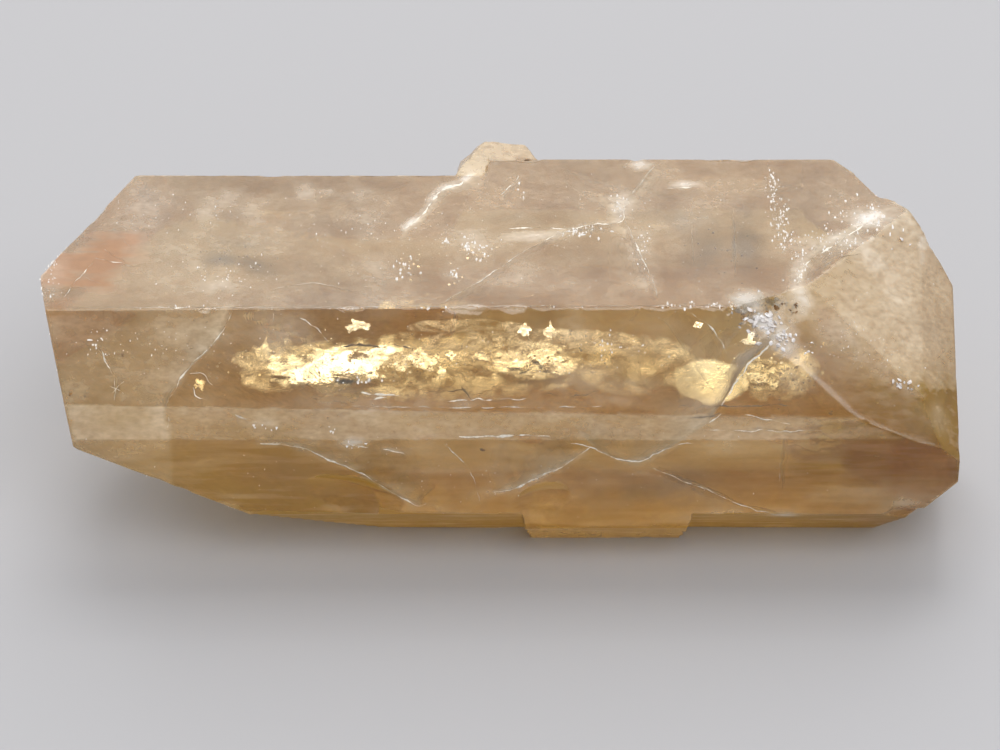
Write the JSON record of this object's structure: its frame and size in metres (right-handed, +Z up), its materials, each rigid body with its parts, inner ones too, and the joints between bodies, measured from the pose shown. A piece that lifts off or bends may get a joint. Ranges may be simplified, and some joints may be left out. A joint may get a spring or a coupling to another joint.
{
  "type": "barite crystal",
  "caption": "A loose golden translucent barite prism with a pale hazy top, a honey-coloured front, broken ends and an iron-stained tip, lying on its flat underside.",
  "frame": {"origin": "the middle of the bounding box's base, on the plane that the crystal rests on", "axes": "+X along the prism towards its pale sloping end facet, +Y from the honey-coloured front to the back, +Z up from the resting face"},
  "size_m": [0.0332, 0.0122, 0.0103],
  "materials": {
    "golden_barite": "clear with hazy, frosted and stained places"
  },
  "bodies": {
    "root": {"barite_crystal": "golden_barite"}
  },
  "joints": []
}
